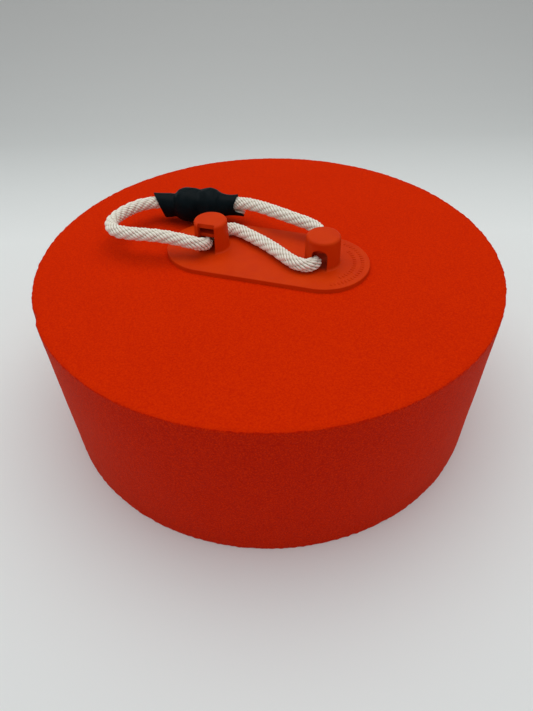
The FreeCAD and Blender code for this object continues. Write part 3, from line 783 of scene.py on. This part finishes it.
def make_tail(name, start, end, half_width, half_height, material):
    """Loose yarns of a cut rope end, squeezed under the standing rope inside a sleeve mouth."""
    mesh = ([], [], {key: [] for key in ROPE_VALUES})
    yarns, sides, rows = 8, 8, 24
    first, sweep = -165, 150
    twist = 0.5
    radius = 0.00062 * (1 - 0.75 * np.linspace(0, 1, rows) ** 6)
    for k in range(yarns):
        reach = end - RNG.uniform(0.0, 1.3)
        drift = RNG.uniform(-0.25, 0.25)
        places = np.linspace(start, reach, rows)
        turn = math.radians(first + sweep * k / (yarns - 1))
        turn = turn + twist * (places - start) / (end - start)
        path = (SLEEVE_START + np.outer(places, SLEEVE_ALONG) * MM
                + np.outer(np.cos(turn) * half_width + drift, SLEEVE_ACROSS) * MM
                + np.outer(np.sin(turn) * half_height, UP) * MM)
        out = np.outer(np.cos(turn), SLEEVE_ACROSS) + np.outer(np.sin(turn), UP)
        rings = yarn_tube(path, out, radius, radius, sides)
        # The tail's depth runs from 0.35 to 0.8, so its yarns take more of the darker groove colour
        # towards their ends: painted shade under the standing rope.
        add_tube(mesh, rings, around=way_round(sides, rows), along=np.repeat(places * MM, sides),
                 depth=np.repeat(np.linspace(0.35, 0.8, rows), sides), tone=k / yarns)
    vertices, faces, values = mesh
    piece = new_piece(name, vertices, faces, [material], values=values)
    return piece


# ---------------------------------------------------------------- stage

FLOOR_NEAR, BEND_START, BEND_RADIUS, BACKDROP_TOP, FLOOR_HALF_WIDTH = -1.6, 0.34, 0.3, 1.6, 2.0
BEND_STEPS = 12


def make_stage():
    """Floor that curves up into a backdrop behind the object, seen from the camera."""
    profile = [(FLOOR_NEAR, 0.0), (BEND_START, 0.0)]
    for i in range(1, BEND_STEPS + 1):
        a = math.pi / 2 * i / BEND_STEPS
        profile.append((BEND_START + BEND_RADIUS * math.sin(a), BEND_RADIUS * (1 - math.cos(a))))
    profile.append((BEND_START + BEND_RADIUS, BACKDROP_TOP))
    c, s = math.cos(STAGE_TURN), math.sin(STAGE_TURN)
    vertices = [(x * c - depth * s, x * s + depth * c, z)
                for depth, z in profile for x in (-FLOOR_HALF_WIDTH, FLOOR_HALF_WIDTH)]
    faces = [(2 * i, 2 * i + 1, 2 * i + 3, 2 * i + 2) for i in range(len(profile) - 1)]
    new_piece("floor", vertices, faces, [floor_material()])


def make_light():
    """Even pale surroundings and one broad soft light overhead."""
    world = bpy.data.worlds.new("studio")
    bpy.context.scene.world = world
    world.use_nodes = True
    background = world.node_tree.nodes["Background"]
    background.inputs["Color"].default_value = (0.93, 0.96, 1.0, 1)
    background.inputs["Strength"].default_value = 0.52
    area_light("overhead", (-0.05, 0.14, 0.8), (0.0, 0.0, 0.05), 1.1, 0.8, 4.2, (1.0, 0.99, 0.97))
    bpy.context.scene.view_settings.view_transform = "Standard"


# ---------------------------------------------------------------- build

make_camera()
make_stage()
make_light()

rope_look = rope_material()
rope_left, left_line = make_rope("rope_left", LEFT_ROUTE, rope_look)
rope_right, right_line = make_rope("rope_right", RIGHT_ROUTE, rope_look)
rope_across, across_line = make_rope("rope_across", BRIDGE_ROUTE, rope_look)
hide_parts("rope_loop_left")
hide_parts("rope_loop_right")
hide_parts("rope_bridge")
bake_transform(rope_left)
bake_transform(rope_right)
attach(rope_across, "bumper")

sleeve = make_sleeve(sleeve_material())
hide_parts("shrink_sleeve")
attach(sleeve, "handle")
# Knots and rope ends are placed by their distance along the sleeve, in millimetres.
knot_left = make_knot("knot_left", 14.6, rope_look)
knot_right = make_knot("knot_right", 24.6, rope_look)
tail_left = make_tail("tail_left", 2.4, 10.0, 3.3, 4.0, rope_look)
tail_right = make_tail("tail_right", 29.0, 41.0, 3.0, 3.5, rope_look)
for piece, node_name in ((knot_left, "rope_knot_left"), (knot_right, "rope_knot_right"),
                         (tail_left, "rope_tail_left"), (tail_right, "rope_tail_right")):
    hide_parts(node_name)
    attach(piece, "handle")

foam = make_foam(foam_skin_material(), foam_cut_material())
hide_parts("foam_disc")
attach(foam, "bumper")

steel = metal_material("screw_steel", (0.62, 0.62, 0.60), 0.28)
brass = metal_material("insert_brass", (0.75, 0.55, 0.25), 0.30)
moulding = moulding_material()
tube = tube_material()
LOOKS = {"rope_plate": moulding, "back_plate": moulding}
for hand in ("left", "right"):
    LOOKS["spacer_tube_" + hand] = tube
    LOOKS["clamp_screw_" + hand] = steel
    LOOKS["screw_washer_" + hand] = steel
    LOOKS["threaded_insert_" + hand] = brass
for node_name, look in LOOKS.items():
    for material_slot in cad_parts[node_name].material_slots:
        material_slot.material = look
